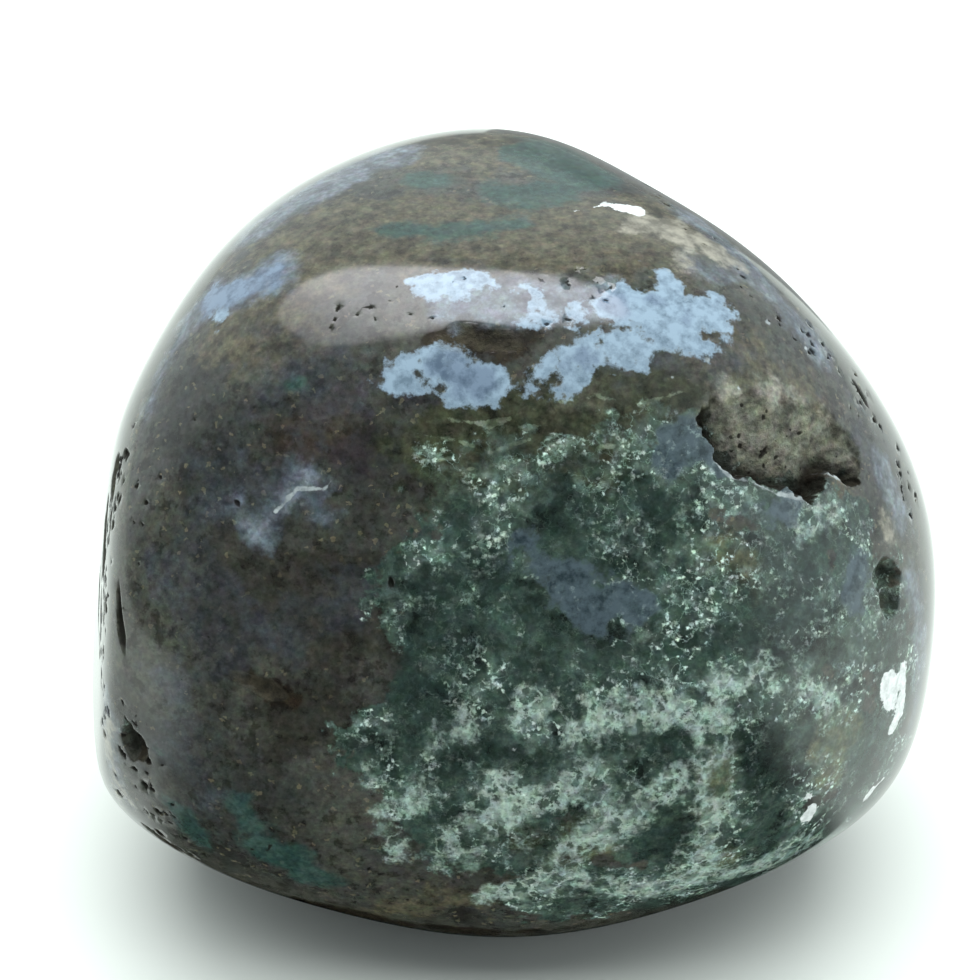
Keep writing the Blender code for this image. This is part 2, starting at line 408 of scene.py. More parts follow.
# Where the colours lie. Each colour is brushed on: a stroke is its half width in mm and its places in the
# picture.
SEEN_STROKES = {
    "dusk": (
        (3.2, (240, 590), (330, 640)),
        (2.6, (290, 720), (330, 700)),
        (1.6, (370, 560), (385, 640)),
        (2.2, (280, 560), (340, 575)),
    ),
    "olive_tan": (
        (5.0, (300, 240), (520, 230), (640, 230)),
        (3.6, (300, 290), (255, 330)),
        (4.0, (520, 150), (440, 150)),
        (2.8, (720, 350), (800, 420)),
        (3.0, (760, 420), (830, 470)),
        (2.0, (540, 835), (580, 840)),
        (1.2, (380, 912), (450, 900), (530, 876)),
    ),
    "umber_and_shade": (
        (0.7, (230, 668), (262, 684), (292, 700)),
        # Painted shade: these two strokes darken the dish along its ledge, where the ledge's shadow falls.
        (0.6, (735, 466), (765, 474), (800, 480)),
        (0.8, (800, 478), (822, 470)),
        (1.0, (430, 338), (470, 338), (520, 348)),
        (0.7, (500, 354), (520, 350), (532, 338)),
        # Painted shade on the stone's underside, along its bottom edge.
        (0.9, (540, 932), (300, 908)),
        (0.5, (135, 748), (146, 764)),
        (0.6, (152, 826), (172, 846)),
    ),
    "russet": (
        (1.6, (290, 440), (330, 425), (345, 408)),
        (1.2, (330, 450), (345, 440)),
    ),
    "plum": (
        (0.9, (345, 455), (390, 442)),
        (0.8, (335, 468), (370, 456)),
        (0.9, (395, 400), (470, 404)),
    ),
    "slate": (
        (2.2, (215, 480), (300, 500)),
        (2.4, (190, 560), (215, 640)),
        (1.5, (176, 680), (184, 770)),
        (1.2, (205, 798), (215, 790)),
        (1.4, (300, 640), (355, 600)),
        (2.2, (280, 370), (350, 385)),
        (1.3, (275, 335), (280, 345)),
        (1.6, (640, 365), (715, 350)),
        (1.4, (684, 440), (690, 455)),
        (2.0, (862, 430), (895, 480)),
    ),
    "teal": (
        (0.8, (238, 800), (246, 828)),
        (1.5, (260, 845), (298, 864)),
        (1.3, (298, 868), (320, 876)),
        (1.0, (178, 812), (196, 834)),
        (3.0, (545, 152), (580, 175)),
        (1.7, (500, 195), (560, 190)),
        (0.8, (380, 230), (440, 232), (520, 222)),
        (1.2, (425, 178), (435, 182)),
        (0.35, (294, 386), (298, 383)),
    ),
    "sand": (
        (2.6, (735, 425), (795, 440)),
        (1.2, (770, 398), (822, 432)),
        (1.2, (836, 450), (850, 465)),
        (1.0, (560, 395), (590, 400)),
    ),
    "moss": (
        (0.4, (138, 736)),
        (1.5, (886, 578)),
        (12.0, (600, 655)),
        (3.6, (490, 500), (640, 485)),
        (2.0, (690, 470), (770, 510), (850, 520)),
        (2.2, (845, 540), (850, 640)),
        (2.6, (880, 590), (890, 660), (890, 760)),
        (2.2, (845, 690), (860, 770)),
        (2.2, (870, 800), (830, 836)),
        (1.6, (432, 474)),
        (5.4, (440, 760), (500, 820)),
        (2.4, (376, 745)),
        (6.8, (760, 620)),
        (5.6, (800, 750), (700, 830)),
        (2.6, (432, 560), (420, 610)),
        (3.6, (560, 895), (700, 880), (840, 820)),
        (1.4, (640, 430), (700, 440)),
    ),
    "olive_moss": (
        (3.4, (440, 450), (600, 432)),
        (2.2, (610, 420), (670, 398)),
        (1.4, (728, 548), (738, 565)),
        (1.8, (520, 838), (590, 828)),
    ),
    "yellow_moss": (
        (1.8, (842, 720), (832, 770)),
        (1.2, (705, 845), (730, 860)),
        (1.0, (560, 855), (600, 845)),
        (1.0, (730, 548), (745, 560)),
        (1.1, (715, 768), (708, 815)),
    ),
    "window": (
        (1.0, (522, 540), (545, 570)),
        (1.6, (558, 588), (604, 602)),
        (1.1, (604, 600), (634, 606)),
        (0.6, (598, 612), (600, 636)),
        (1.2, (668, 452), (690, 440)),
        (0.6, (700, 452), (716, 466)),
        (0.8, (770, 515), (790, 512)),
        (0.8, (857, 570), (855, 615)),
    ),
    "pocket": (
        (2.6, (462, 630), (425, 695)),
        (1.6, (440, 590), (480, 570)),
        (1.6, (560, 500), (590, 545)),
        (0.3, (138, 732)),
        (1.4, (520, 690), (560, 700)),
        (1.2, (455, 762), (484, 750)),
        (1.6, (660, 755), (690, 745)),
        (1.3, (545, 765)),
        (1.6, (765, 745), (768, 775)),
        (1.4, (590, 560), (650, 540)),
        (1.6, (786, 565), (820, 600)),
        (1.2, (720, 640), (766, 640)),
        (1.2, (640, 500), (660, 530)),
        (1.0, (580, 805)),
        (1.6, (672, 832), (680, 840)),
        (1.0, (470, 515), (485, 510)),
        (0.9, (447, 810)),
    ),
    "crust": (
        (0.6, (372, 780), (395, 845)),
        (0.4, (432, 746), (466, 726)),
        (0.35, (518, 720), (546, 702)),
        (0.7, (425, 796), (470, 800), (520, 772)),
        (0.9, (625, 796), (660, 786), (690, 806)),
        (1.3, (455, 838), (520, 812), (585, 782)),
        (0.9, (460, 850), (475, 872)),
        (0.6, (580, 736), (620, 708)),
        (0.7, (640, 716), (700, 700), (760, 676)),
        (0.8, (716, 712), (700, 745), (668, 780), (600, 800)),
        (1.1, (700, 795), (722, 830), (700, 862)),
        (1.2, (640, 800), (600, 830), (560, 850)),
        (0.8, (488, 890), (560, 884), (660, 888)),
        (0.9, (670, 880), (760, 868), (815, 836)),
        (0.15, (800, 520), (840, 500)),
        (0.7, (795, 690), (840, 700)),
    ),
    "chalcedony": (
        (1.3, (618, 306), (657, 306), (690, 322), (722, 310)),
        (0.9, (717, 300), (722, 322)),
        (0.6, (662, 272), (666, 290)),
        (1.3, (612, 336), (632, 345)),
        (0.9, (612, 330), (568, 350), (540, 372)),
        (0.75, (564, 352), (568, 386)),
        (0.5, (533, 376), (532, 390)),
        (0.9, (672, 334), (696, 344)),
        (0.9, (397, 382), (422, 356)),
        (1.2, (432, 362), (440, 380)),
        (1.0, (452, 374), (492, 384)),
        (0.6, (408, 388), (494, 392)),
        (0.4, (424, 346), (426, 356)),
        (1.0, (214, 300), (240, 290)),
        (0.6, (252, 281), (274, 272)),
        (0.5, (210, 306), (220, 314)),
        (1.2, (430, 288), (452, 284)),
        (0.8, (452, 284), (478, 278)),
        (0.7, (530, 292), (534, 316)),
        (0.4, (574, 292), (576, 320)),
    ),
    "blue": (
        (1.3, (212, 302), (242, 290), (272, 274)),
        (0.9, (436, 368), (476, 380)),
        (0.35, (650, 300)),
        (0.35, (688, 322)),
        (0.4, (610, 302), (624, 312)),
        (0.4, (560, 362)),
        (0.5, (580, 352)),
    ),
    "cream_and_glare": (
        (1.5, (642, 222), (676, 232)),
        (1.0, (700, 238), (716, 254)),
        # Painted reflection: a pale line along the lower left rim.
        (0.5, (106, 716), (112, 770), (128, 818)),
        (0.5, (885, 524), (887, 534)),
        (0.9, (680, 262), (690, 262)),
    ),
    # Pure white spots: partly white quartz, partly painted glints of the lamp.
    "white": (
        (0.18, (572, 212), (600, 206)),
        (0.5, (606, 204), (622, 206)),
        (0.6, (620, 208), (636, 211)),
        (1.05, (888, 684), (891, 696)),
        (0.45, (903, 670), (901, 712), (893, 728)),
        (0.5, (808, 796), (812, 808), (807, 816)),
        (0.5, (866, 798), (872, 790)),
        (0.24, (872, 790), (884, 778)),
    ),
    # Blue-grey haze of the stone round the pale vein at the left, in the first five strokes. The others,
    # along the rims, over the brow and on the right flank, are painted reflection of the pale walls.
    "mist_and_glare": (
        (0.6, (300, 490), (282, 506), (262, 520)),
        (0.9, (252, 524), (262, 532)),
        (0.9, (314, 506), (324, 516)),
        (0.7, (300, 478), (330, 480)),
        (0.5, (240, 500), (250, 512)),
        (1.8, (450, 300), (600, 300)),
        (1.0, (690, 262), (720, 276)),
        (1.3, (690, 216), (760, 284), (820, 350)),
        (2.0, (256, 228), (300, 200), (392, 156)),
        (1.4, (352, 164), (404, 150)),
        (0.8, (150, 400), (188, 320)),
        (1.9, (210, 302), (244, 288), (276, 272)),
        (1.0, (106, 700), (112, 760), (126, 812)),
        (1.1, (912, 580), (922, 640), (912, 720)),
        (1.0, (885, 470), (902, 520)),
    ),
    "filament": (
        (0.05, (418, 434), (455, 440), (490, 452), (530, 440)),
        (0.05, (470, 468), (512, 463), (548, 450), (575, 436)),
        (0.04, (520, 428), (556, 424), (600, 432)),
        (0.06, (560, 402), (596, 396), (640, 404), (682, 392)),
        (0.04, (450, 420), (486, 424), (510, 418)),
        (0.04, (600, 448), (640, 440), (672, 424)),
        (0.04, (404, 452), (430, 462), (452, 458)),
    ),
    "vein": (
        (0.13, (297, 489), (311, 489), (325, 488), (331, 481), (328, 474)),
        (0.1, (297, 489), (286, 502), (276, 511)),
        # Painted highlight: thin pale glints along the lip of the dish's ledge, in these two strokes.
        (0.02, (713, 457), (729, 476), (752, 482), (776, 494), (803, 499), (814, 503)),
        (0.02, (824, 472), (832, 475), (846, 485), (862, 490)),
        (0.15, (734, 307)),
        (0.13, (707, 359)),
        (0.12, (672, 377)),
        (0.14, (739, 388)),
        (0.13, (768, 322)),
        (0.12, (806, 348)),
        (0.13, (824, 362)),
        (0.12, (188, 645)),
    ),
}

# The side that the picture doesn't show carries the same colours, brushed on at places in mm right and up.
HIDDEN_STROKES = {
    "dusk": ((3.0, (-18.0, 2.0), (-20.0, -6.0)),),
    "olive_tan": ((7.0, (-10.0, 20.0), (12.0, 18.0)), (5.0, (20.0, 6.0), (18.0, -4.0))),
    "umber_and_shade": ((1.6, (-14.0, -6.0), (-11.0, -9.0)), (1.0, (6.0, 2.0), (12.0, 4.0))),
    "russet": ((3.0, (-20.0, 6.0), (-14.0, 10.0)),),
    "plum": ((1.6, (-6.0, 8.0), (2.0, 6.0)),),
    "slate": ((4.0, (-4.0, -2.0), (6.0, -8.0)), (3.0, (18.0, 8.0), (12.0, 14.0))),
    "teal": ((2.4, (-2.0, 18.0), (6.0, 16.0)), (1.6, (-22.0, -8.0), (-18.0, -12.0))),
    "sand": ((1.4, (-6.0, 16.0), (0.0, 18.0)),),
    "moss": (
        (9.0, (16.0, -10.0), (4.0, -14.0)),
        (5.0, (14.0, 0.0), (20.0, 4.0)),
        (3.0, (6.0, -3.0)),
        (6.5, (6.0, 10.0), (13.0, 14.0)),
        (5.0, (-10.0, -16.0)),
        (4.0, (24.0, -4.0)),
    ),
    "olive_moss": ((3.0, (4.0, -8.0), (-4.0, -12.0)), (1.8, (10.0, 5.0))),
    "yellow_moss": ((2.0, (18.0, -6.0), (14.0, -2.0)),),
    "window": ((1.8, (10.0, -6.0), (13.0, -8.0)), (1.6, (4.0, -18.0))),
    "pocket": ((2.2, (18.0, -2.0)), (1.8, (4.0, -10.0)), (1.4, (8.0, 14.0))),
    "crust": (
        (1.2, (22.0, -4.0), (16.0, 1.0), (10.0, -1.0)),
        (1.0, (2.0, -12.0), (-8.0, -12.0)),
        (0.9, (4.0, 8.0), (9.0, 9.0), (13.0, 17.0)),
    ),
    "chalcedony": (
        (1.3, (-12.0, 5.0), (-7.0, 3.0)),
        (1.9, (-7.0, 2.0), (-4.0, 4.0)),
        (0.7, (-5.0, 5.0), (-3.0, 9.0)),
        (0.8, (-15.0, 7.0), (-13.0, 9.0)),
        (1.4, (16.0, 8.0), (19.0, 6.0)),
    ),
    "blue": ((0.9, (-6.0, 3.0)),),
    "cream_and_glare": ((0.8, (-2.0, 8.0), (0.0, 9.0)),),
    "white": ((0.35, (-4.0, 12.0), (-2.6, 12.5)), (0.4, (8.0, -6.0))),
    "mist_and_glare": ((1.6, (-16.0, 12.0), (-10.0, 14.0)),),
    "filament": ((0.15, (8.0, -4.0), (2.0, -5.0), (-4.0, -4.0)),),
    "vein": ((0.2, (-16.0, 12.0), (-12.0, 14.0), (-8.0, 13.0)),),
}

# Each colour's field is followed this far outside its strokes, in mm.
FIELD_REACH = 8.0


def brushed_depth(points, name):
    """How deep each point lies inside a colour's strokes, in mm. It is less than 0 outside them."""
    depth = np.full(len(points), -FIELD_REACH)
    for strokes, find in ((SEEN_STROKES[name], seen_at), (HIDDEN_STROKES[name], hidden_at)):
        for half_width, *places in strokes:
            depth = np.maximum(depth, half_width - line_distance(points, find(places)))
    return depth


# The mesh: steps of the whole round stone, and halvings of its faces at the hollows, the pits and the
# finest strokes, with how far round each of these they go.
STONE_STEPS = 7
HALVINGS = 2
HOLLOW_MARGIN = 1.25
PIT_MARGIN = -0.5
FINE_STROKE = 0.25
FINE_MARGIN = 0.3
LEDGE_MARGIN = 0.6


def needs_detail(points):
    """Where the finished stone needs smaller faces."""
    places = in_view(points)
    near = line_distance(places, LEDGE) < LEDGE_MARGIN
    near |= within(places, LEDGE + DISH_TOP)
    near &= points @ TOWARDS > 0
    for hollow in hollows:
        near |= hollow.reach(points) < HOLLOW_MARGIN
    near |= pit_fields(points)[1] > PIT_MARGIN
    for name in ("vein", "white", "filament"):
        for half_width, *line in SEEN_STROKES[name]:
            if half_width < FINE_STROKE:
                near |= line_distance(points, seen_at(line)) < half_width + FINE_MARGIN
    return near


sphere = bmesh.new()
bmesh.ops.create_icosphere(sphere, subdivisions=STONE_STEPS, radius=1)
for _ in range(HALVINGS):
    middles = unit(np.array([(e.verts[0].co + e.verts[1].co) / 2 for e in sphere.edges]))
    chosen = needs_detail(middles * skin_radius(middles)[:, None])
    edges = [edge for edge, near in zip(sphere.edges[:], chosen) if near]
    bmesh.ops.subdivide_edges(sphere, edges=edges, cuts=1, use_grid_fill=True)
    bmesh.ops.triangulate(sphere, faces=sphere.faces[:])
directions = unit(np.array([v.co for v in sphere.verts]))
plain_skin = directions * skin_radius(directions)[:, None]
pit_sink, pit_nearness = pit_fields(plain_skin)
hollow_depth = dish_sink(plain_skin)
points = plain_skin - hollow_depth[:, None] * skin_normals(faced_at([DISH_MIDDLE]))
for hollow in hollows:
    own_depth = hollow.sink(plain_skin)
    points -= own_depth[:, None] * hollow.normal
    hollow_depth += own_depth
points -= pit_sink
points[:, 2] = np.maximum(points[:, 2], -FLOOR_DROP)

# The stone's middle goes where the CAD solid has it: over the middle of the box's underside.
box_low, box_high = (np.array(corner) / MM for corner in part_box("stone"))
low, high = points.min(axis=0), points.max(axis=0)
shift = np.append((box_low + box_high)[:2] / 2 - (low + high)[:2] / 2, box_low[2] - low[2])
for vertex, point in zip(sphere.verts, (points + shift) * MM):
    vertex.co = point
stone_mesh = bpy.data.meshes.new("moss_agate")
sphere.to_mesh(stone_mesh)
sphere.free()
stone_mesh.shade_smooth()

fields = {name: brushed_depth(plain_skin, name) for name in SEEN_STROKES}
# Painted shadow: the dish is darkened near its ledge, where the ledge's shadow falls.
under_ledge = 1 - line_distance(in_view(plain_skin), LEDGE) / LEDGE_SHADOW
fields["painted_ledge_shadow"] = np.where(dish_sink(plain_skin) > DISH_RIM_DEPTH, under_ledge, 0)
fields["hollow"] = hollow_depth
fields["pit"] = pit_nearness
for name, values in fields.items():
    attribute = stone_mesh.attributes.new(name, "FLOAT", "POINT")
    attribute.data.foreach_set("value", values.astype(np.float32))

# The stone's material: moss agate, polished. It gives the green moss with its pale threads in a brown body,
# and the gloss. Each colour is a layer over the ones before it, with an edge that wanders.
agate = bpy.data.materials.new("polished_moss_agate")
agate.use_nodes = True
tree = agate.node_tree
shader = tree.nodes["Principled BSDF"]
MIX = {"output": 2, "data_type": "RGBA"}


def linear(colour):
    """An sRGB hex colour as the linear values that the shader takes."""
    parts = [int(colour[i : i + 2], 16) / 255 for i in (1, 3, 5)]
    return [p / 12.92 if p <= 0.04045 else ((p + 0.055) / 1.055) ** 2.4 for p in parts] + [1.0]


def add(kind, inputs=(), output=0, **settings):
    """Adds a node with its settings and feeds it with values or other nodes' outputs. Gives one output."""
    node = tree.nodes.new(kind)
    for name, value in settings.items():
        setattr(node, name, value)
    for socket, value in dict(inputs).items():
        if isinstance(value, bpy.types.NodeSocket):
            tree.links.new(value, node.inputs[socket])
        else:
            node.inputs[socket].default_value = value
    return node.outputs[output]


place = add("ShaderNodeTexCoord", output="Object")
place = add("ShaderNodeVectorMath", {0: place, "Scale": 1 / MM}, operation="SCALE")

# The stone's clouds and grains: size in mm, finer octaves, and the noise's values that count as none and
# as full.
PATTERNS = {
    "bank": (9.0, 6.0, 0.4, 0.6),
    "cloud": (3.0, 6.0, 0.38, 0.62),
    "clump": (4.3, 5.0, 0.45, 0.6),
    "lobe": (1.2, 5.0, 0.38, 0.62),
    "plume": (1.7, 3.0, 0.4, 0.64),
    "curd": (1.0, 5.0, 0.36, 0.56),
    "grain": (0.5, 4.0, 0.34, 0.66),
}
pattern = {}
for name, (size, octaves, none, full) in PATTERNS.items():
    noise = {"Vector": place, "Scale": 1 / size, "Detail": octaves, "Roughness": 0.64}
    noise = add("ShaderNodeTexNoise", noise)
    pattern[name] = add("ShaderNodeMapRange", {"Value": noise, "From Min": none, "From Max": full})

# The edges of the colours wander, and the lace bends, with a noise of this size in mm.
DRIFT_SIZE = 2.6
drift = {"Vector": place, "Scale": 1 / DRIFT_SIZE, "Detail": 6.0, "Roughness": 0.62}
drift = add("ShaderNodeTexNoise", drift, "Color")
wander = add("ShaderNodeSeparateColor", {0: drift})
wander = {"Value": wander, "From Min": 0.3, "From Max": 0.7, "To Min": -1.0, "To Max": 1.0}
wander = add("ShaderNodeMapRange", wander, clamp=False)

# Lace: the pale walls between the moss's cells. The cells' size and how far the walls bend are in mm, and
# the walls' width is a share of a cell.
LACE_SIZE = 3.4
LACE_BEND = (4.0, 4.0, 4.0)
LACE_WIDTH = 0.16
bent = add("ShaderNodeVectorMath", {0: drift, 1: LACE_BEND, 2: place}, operation="MULTIPLY_ADD")
lace = add("ShaderNodeTexVoronoi", {"Vector": bent, "Scale": 1 / LACE_SIZE}, feature="DISTANCE_TO_EDGE")
lace = {"Value": lace, "From Min": LACE_WIDTH, "From Max": 0.0}
lace = add("ShaderNodeMapRange", lace, interpolation_type="SMOOTHSTEP")

# The crystals of the jasper are sharp little grains with ragged sides, each with its own tone. Their size,
# the size of the rags and how far these reach are in mm.
CRYSTAL_SIZE = 0.24
RAG_SIZE = 0.3
RAGGEDNESS = (0.45, 0.45, 0.45)
ragged = add("ShaderNodeTexNoise", {"Vector": place, "Scale": 1 / RAG_SIZE, "Detail": 2.0}, "Color")
ragged = add("ShaderNodeVectorMath", {0: ragged, 1: RAGGEDNESS, 2: place}, operation="MULTIPLY_ADD")
crystals = add("ShaderNodeTexVoronoi", {"Vector": ragged, "Scale": 1 / CRYSTAL_SIZE}, "Color")
crystals = add("ShaderNodeSeparateColor", {0: crystals})

# The brown body of the stone, with greyer clouds, dark veins between them and rare tan specks.
colour = add("ShaderNodeMix", {0: pattern["bank"], 6: linear("#2c2d2a"), 7: linear("#4e4e46")}, **MIX)
clouded = add("ShaderNodeMath", {0: pattern["cloud"], 1: 0.6}, operation="MULTIPLY")
colour = add("ShaderNodeMix", {0: clouded, 6: colour, 7: linear("#434643")}, **MIX)
veined = {"Value": pattern["lobe"], "From Min": 0.4, "From Max": 0.1, "To Max": 0.6}
veined = add("ShaderNodeMapRange", veined)
colour = add("ShaderNodeMix", {0: veined, 6: colour, 7: linear("#1c1a16")}, **MIX)
specks = add("ShaderNodeMapRange", {"Value": crystals, "From Min": 0.97, "From Max": 0.985, "To Max": 0.5})
colour = add("ShaderNodeMix", {0: specks, 6: colour, 7: linear("#6c6552")}, **MIX)

# Colours brushed over the body: the darkest and palest tone, the pattern between them, how far the edge
# wanders and how soft it is, both in mm, how much of the body it hides, and how wide its pale outline is, if
# it has one.
UNDER_LAYERS = {
    "dusk": ("#1b1916", "#2b2924", "lobe", 2.4, 3.0, 0.7, 0),
    "olive_tan": ("#3a372d", "#605b49", "lobe", 2.6, 2.4, 0.8, 0),
    # Umber, and painted shade along the ledge and the underside.
    "umber_and_shade": ("#17130f", "#2d251b", "lobe", 0.7, 0.5, 0.9, 0),
    "russet": ("#33271f", "#443229", "lobe", 2.4, 2.4, 0.45, 0),
    "plum": ("#242329", "#35323a", "cloud", 1.6, 1.4, 0.5, 0),
    "slate": ("#32363b", "#4b515b", "cloud", 2.6, 2.6, 0.4, 0),
    "teal": ("#26403c", "#3c524d", "cloud", 1.0, 1.2, 0.85, 0),
    "sand": ("#5f5f57", "#9a9b8d", "lobe", 1.4, 1.4, 0.8, 0),
    "moss": ("#131c19", "#35463f", "cloud", 2.0, 0.7, 0.97, 0),
    "olive_moss": ("#22251b", "#414434", "lobe", 2.0, 1.6, 0.85, 0),
    "yellow_moss": ("#454a3a", "#77795e", "lobe", 1.2, 1.4, 0.65, 0),
    "pocket": ("#17221f", "#2a3833", "cloud", 1.4, 0.9, 0.85, 0),
    "crust": ("#45544d", "#6f8077", "lobe", 1.8, 1.6, 0.6, 0),
    # Blue-grey haze, and painted reflection on the rims and the brow.
    "mist_and_glare": ("#4c535c", "#7b858f", "plume", 0.9, 1.3, 0.72, 0),
    "filament": ("#4f5848", "#8a9480", "lobe", 0.4, 0.12, 0.6, 0),
}
OVER_LAYERS = {
    "window": ("#28343b", "#4d5a63", "curd", 1.2, 0.8, 0.85, 0.2),
    "chalcedony": ("#6c7f90", "#96abbe", "curd", 1.3, 0.6, 0.92, 0.2),
    "blue": ("#4c5b70", "#69798f", "curd", 1.0, 0.9, 0.75, 0),
    "cream_and_glare": ("#6a665a", "#a5a092", "lobe", 1.4, 1.0, 0.75, 0),
    # Pure white: partly white quartz, partly painted glints.
    "white": ("#c2c6c6", "#f2f5f5", "grain", 0.45, 0.1, 1.0, 0),
    # Pale veins, and painted glints along the ledge's lip.
    "vein": ("#7f8689", "#b8c0c2", "lobe", 0.25, 0.12, 0.85, 0),
}
shares = {}


def brush_over(colour, layers):
    """The colour with each layer laid over it in turn, where its own strokes lie."""
    for name, (dark, pale, own_pattern, roam, softness, cover, outline) in layers.items():
        depth = add("ShaderNodeAttribute", output="Fac", attribute_name=name)
        edge = add("ShaderNodeMath", {0: wander, 1: roam, 2: depth}, operation="MULTIPLY_ADD")
        shares[name] = add(
            "ShaderNodeMapRange",
            {"Value": edge, "From Min": -softness / 2, "From Max": softness / 2, "To Max": cover},
            interpolation_type="SMOOTHSTEP",
        )
        shade = pattern[own_pattern]
        if outline:
            rim = add("ShaderNodeMapRange", {"Value": edge, "From Min": 2 * outline, "From Max": outline / 2})
            shade = add("ShaderNodeMath", {0: shade, 1: rim}, operation="MAXIMUM")
        tone = add("ShaderNodeMix", {0: shade, 6: linear(dark), 7: linear(pale)}, **MIX)
        colour = add("ShaderNodeMix", {0: shares[name], 6: colour, 7: tone}, **MIX)
    return colour


colour = brush_over(colour, UNDER_LAYERS)

# The moss: green clouds in clear agate, with thin crinkled threads, and chains of pale beads along them. A
# thread runs where its noise is nearly half. Its size is in mm, its width is in the noise's own scale, and
# the beads keep to a verge that is a few times as wide.
THREADS = {"wide": (3.2, 0.011), "fine": (1.5, 0.014)}
BEAD_SPACING = 0.31
VERGE = 3.6
lines, verges = [], []
for size, width in THREADS.values():
    level = {"Vector": place, "Scale": 1 / size, "Detail": 6.0, "Roughness": 0.6}
    level = add("ShaderNodeTexNoise", level)
    level = add("ShaderNodeMath", {0: level, 1: 0.5}, operation="SUBTRACT")
    level = add("ShaderNodeMath", {0: level}, operation="ABSOLUTE")
    for group, reach in ((lines, width), (verges, width * VERGE)):
        near = {"Value": level, "From Min": reach, "From Max": reach / 4}
        group.append(add("ShaderNodeMapRange", near, interpolation_type="SMOOTHSTEP"))
line = add("ShaderNodeMath", {0: lines[0], 1: lines[1]}, operation="MAXIMUM")
verge = add("ShaderNodeMath", {0: verges[0], 1: verges[1]}, operation="MAXIMUM")
beads = add("ShaderNodeTexVoronoi", {"Vector": ragged, "Scale": 1 / BEAD_SPACING})
bead_tone = add("ShaderNodeSeparateColor", {0: beads.node.outputs["Color"]})
bead_tone = add("ShaderNodeMapRange", {"Value": bead_tone, "From Min": 0.5, "From Max": 0.75})
beads = add("ShaderNodeMapRange", {"Value": beads, "From Min": 0.65, "From Max": 0.3})
beads = add("ShaderNodeMath", {0: beads, 1: bead_tone}, operation="MULTIPLY")
beads = add("ShaderNodeMath", {0: beads, 1: verge}, operation="MULTIPLY")
beads = add("ShaderNodeMath", {0: beads, 1: pattern["clump"]}, operation="MULTIPLY")
strand = add("ShaderNodeMapRange", {"Value": pattern["clump"], "To Min": 0.08, "To Max": 0.6})
strand = add("ShaderNodeMath", {0: strand, 1: line}, operation="MULTIPLY")
haze = add("ShaderNodeMapRange", {"Value": pattern["bank"], "To Min": 0.15, "To Max": 0.75})
haze = add("ShaderNodeMath", {0: haze, 1: pattern["plume"]}, operation="MULTIPLY")
lacy = add("ShaderNodeMath", {0: lace, 1: pattern["lobe"]}, operation="MULTIPLY")
lacy = add("ShaderNodeMath", {0: lacy, 1: pattern["clump"]}, operation="MULTIPLY")
lumps = add("ShaderNodeMapRange", {"Value": pattern["lobe"], "From Min": 0.35, "From Max": 0.75})
clear = add("ShaderNodeMapRange", {"Value": shares["pocket"], "To Min": 1.0, "To Max": 0.3})
shares["moss"] = add("ShaderNodeMath", {0: shares["moss"], 1: clear}, operation="MULTIPLY")
MOSS_PARTS = (
    (haze, "moss", "#53645c"),
    (lacy, "moss", "#70827a"),
    (strand, "moss", "#8ca398"),
    (beads, "moss", "#cfe2d9"),
    (lumps, "crust", "#85978e"),
    (verge, "crust", "#b0c2b9"),
)
for strength, where, tone in MOSS_PARTS:
    share = add("ShaderNodeMath", {0: strength, 1: shares[where]}, operation="MULTIPLY")
    colour = add("ShaderNodeMix", {0: share, 6: colour, 7: linear(tone)}, **MIX)

# Fine grains run through these colours: tones from the noise and the crystals, and a little of every hue.
HUE_SIZE = 0.8
HUE_RANGE = (0.5, 0.5, 0.5)
LEAST_HUE = (0.75, 0.75, 0.75)
grains = add("ShaderNodeMapRange", {"Value": pattern["grain"], "To Min": 0.72, "To Max": 1.28})
crystal_tone = add("ShaderNodeMapRange", {"Value": crystals, "To Min": 0.85, "To Max": 1.15})
grains = add("ShaderNodeMath", {0: grains, 1: crystal_tone}, operation="MULTIPLY")
colour = add("ShaderNodeVectorMath", {0: colour, "Scale": grains}, operation="SCALE")
hues = {"Vector": place, "Scale": 1 / HUE_SIZE, "Detail": 3.0, "Roughness": 0.65}
hues = add("ShaderNodeTexNoise", hues, "Color")
hues = add("ShaderNodeVectorMath", {0: hues, 1: HUE_RANGE, 2: LEAST_HUE}, operation="MULTIPLY_ADD")
colour = add("ShaderNodeVectorMath", {0: colour, 1: hues}, operation="MULTIPLY")

# The clear windows, the pale chalcedony with its blue hearts, the cream, the white spots and the veins are
# smooth, so they lie over the grains. Some white spots, a cream line on the left rim and thin pale lines on
# the ledge's lip are painted glints and reflection.
colour = brush_over(colour, OVER_LAYERS)

# The polish misses the hollows, which stay rough and earthy. The dish gets a painted shadow under its ledge,
# and the pits are painted darker towards their middles.
hollow = add("ShaderNodeAttribute", output="Fac", attribute_name="hollow")
hollow = add("ShaderNodeMapRange", {"Value": hollow, "From Min": 0.01, "From Max": 0.08})
earth = add("ShaderNodeMix", {0: pattern["lobe"], 6: linear("#302e27"), 7: linear("#5f5c4e")}, **MIX)
earthy = add("ShaderNodeMath", {0: hollow, 1: 0.3}, operation="MULTIPLY")
colour = add("ShaderNodeMix", {0: earthy, 6: colour, 7: earth}, **MIX)
painted_ledge_shadow = add("ShaderNodeAttribute", output="Fac", attribute_name="painted_ledge_shadow")
painted_ledge_shadow = add("ShaderNodeMapRange", {"Value": painted_ledge_shadow, "From Min": 0.1, "From Max": 0.7, "To Max": 0.9})
colour = add("ShaderNodeMix", {0: painted_ledge_shadow, 6: colour, 7: linear("#17130e")}, **MIX)
pit = add("ShaderNodeAttribute", output="Fac", attribute_name="pit")
pit = add("ShaderNodeMapRange", {"Value": pit, "From Min": 0.0, "From Max": 0.35, "To Max": 0.85})
colour = add("ShaderNodeMix", {0: pit, 6: colour, 7: linear("#14110d")}, **MIX)
dull = add("ShaderNodeMath", {0: hollow, 1: pit}, operation="MAXIMUM")
